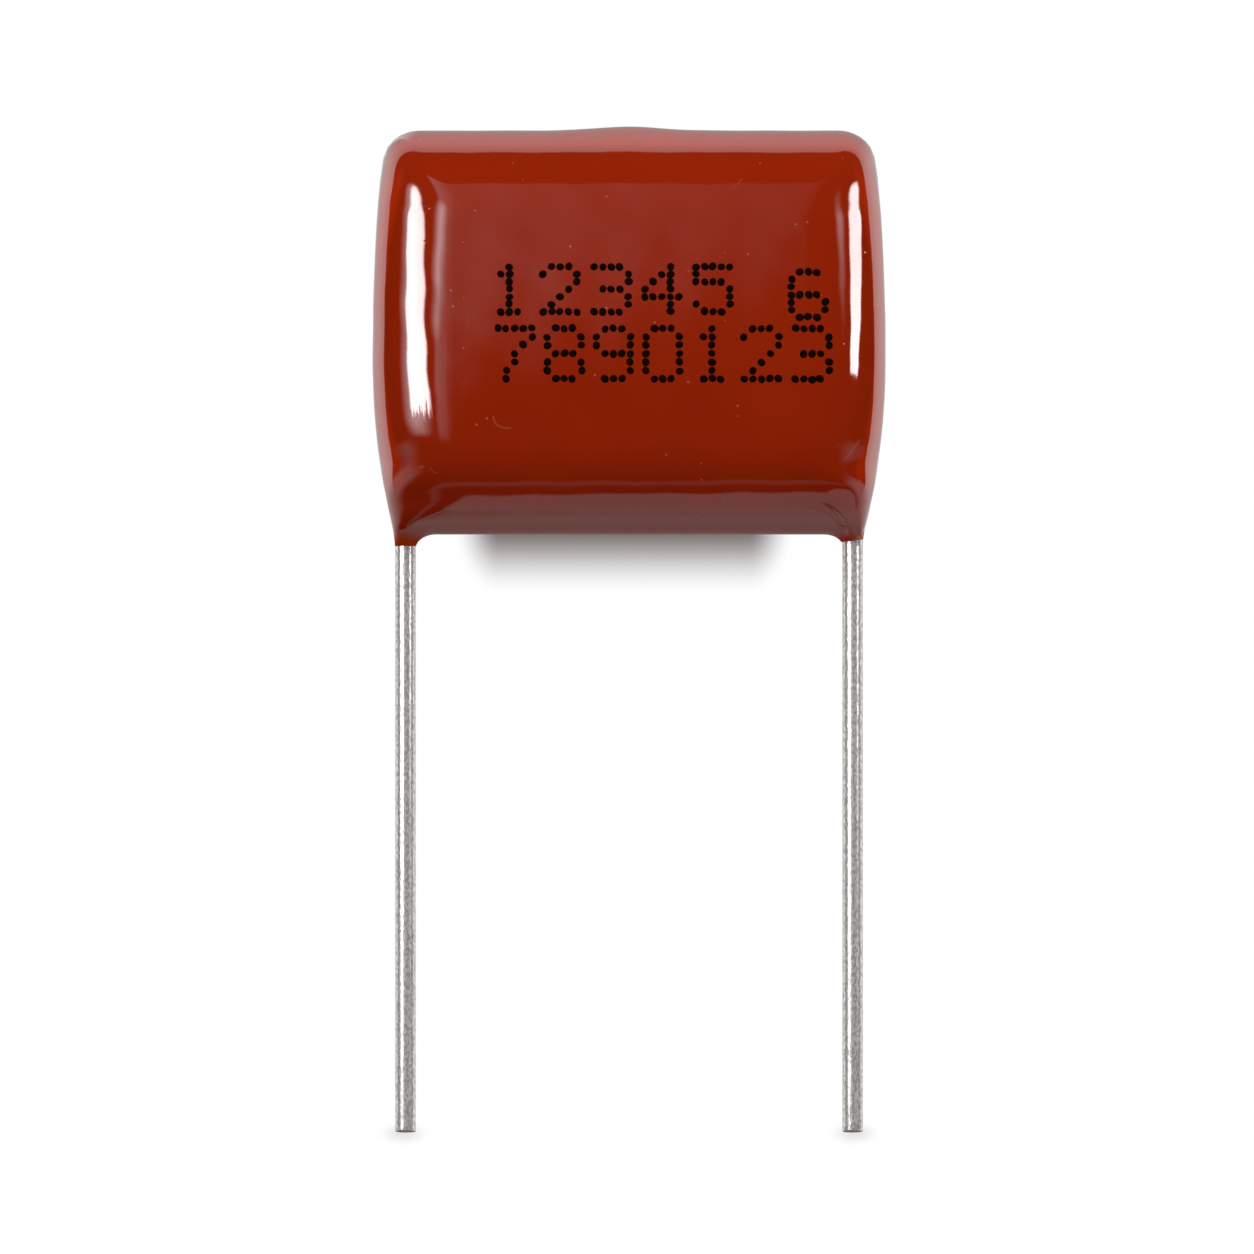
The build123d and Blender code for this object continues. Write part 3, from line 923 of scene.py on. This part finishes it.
def cardMesh(name, look, rows):
    # a strip of quads between two straight edges, with its own map
    aside, reach = np.radians(look["aside"]), look["distance"] * mm
    share = np.linspace(0, 1, rows)
    tall = reach * (np.tan(np.radians(look["low"])) * (1 - share) + np.tan(np.radians(look["high"])) * share)
    edges = [reach * np.tan(np.radians(look[edge][0] * (1 - share) + look[edge][1] * share))
             for edge in ("outer", "inner")]
    out = np.array([np.sin(aside), 0.0, np.cos(aside)])
    sideways = np.array([np.cos(aside), 0.0, -np.sin(aside)])
    middle = out * reach + np.array([0, 1, 0]) * tall[:, None]
    points = np.stack([middle + sideways * edge[:, None] for edge in edges], 1).reshape(-1, 3)
    first = np.arange(rows - 1) * 2
    faces = np.stack([first, first + 1, first + 3, first + 2], -1)
    mesh = bpy.data.meshes.new(name)
    mesh.from_pydata(points.tolist(), [], faces.tolist())
    corners = np.stack([faces % 2, share[faces // 2]], -1).reshape(-1)
    mesh.uv_layers.new(name="card").data.foreach_set("uv", corners.astype(float))
    return mesh


def cardGlow(tree, look, grain):
    # glow = full inside a rounded outline of the map, which leans by the skew towards its head and is torn
    # by a cloud at its foot; times a straight fall to headShare, times long streaks
    place = newNode(tree, "UVMap").outputs[0]
    x, y, _ = newNode(tree, "SeparateXYZ", Vector=place).outputs
    cloud = calc(tree, "SUBTRACT", noiseAt(tree, place, 1.0, 2.0, grain["torn"]), 0.5)
    tearing = mapRange(tree, y, 0.0, grain["tornTop"], look["ragged"] * grain["tornGain"], 0.0, "LINEAR")
    torn = calc(tree, "MULTIPLY_ADD", cloud, tearing, y)
    skewed = product(tree, calc(tree, "SUBTRACT", x, 0.5), y)
    upright = calc(tree, "MULTIPLY_ADD", skewed, -look["skew"], torn)
    shaped = newNode(tree, "CombineXYZ", X=x, Y=upright).outputs[0]
    half = grain["raggedHalf"] if look["ragged"] else grain["half"]
    glow = roundedMask(tree, shaped, (0.5, 1 - half), (0.5, half), look["round"], 1.0 - look["soft"], 1.0,
                       look["glow"], 0.0)
    foot = mapRange(tree, upright, 0.0, grain["footEdge"])
    dimmed = mapRange(tree, y, *grain["dimFrom"], 1.0, look["headShare"], "LINEAR")
    streaks = noiseAt(tree, place, 1.0, 3.0, grain["streaks"])
    return product(tree, glow, foot, dimmed, mapRange(tree, streaks, 0.0, 1.0, *grain["uneven"], "LINEAR"))


def makeCard(name, look):
    # the card adds its glow to what lies behind it and is seen in reflections alone
    card = bpy.data.objects.new(name, cardMesh(name, look, cardGrain["rows"]))
    scene.collection.objects.link(card)
    material, tree, shader = newMaterial(name)
    tree.nodes.remove(shader)
    shine = newNode(tree, "Emission", Strength=cardGlow(tree, look, cardGrain))
    both = newNode(tree, "AddShader")
    tree.links.new(shine.outputs[0], both.inputs[0])
    tree.links.new(newNode(tree, "BsdfTransparent").outputs[0], both.inputs[1])
    tree.links.new(both.outputs[0], tree.nodes["Material Output"].inputs["Surface"])
    card.data.materials.append(material)
    card.visible_camera = card.visible_diffuse = card.visible_shadow = False
    print("card", name)


for name, look in cards.items():
    makeCard(name, look)

scene.view_settings.view_transform = "Standard"
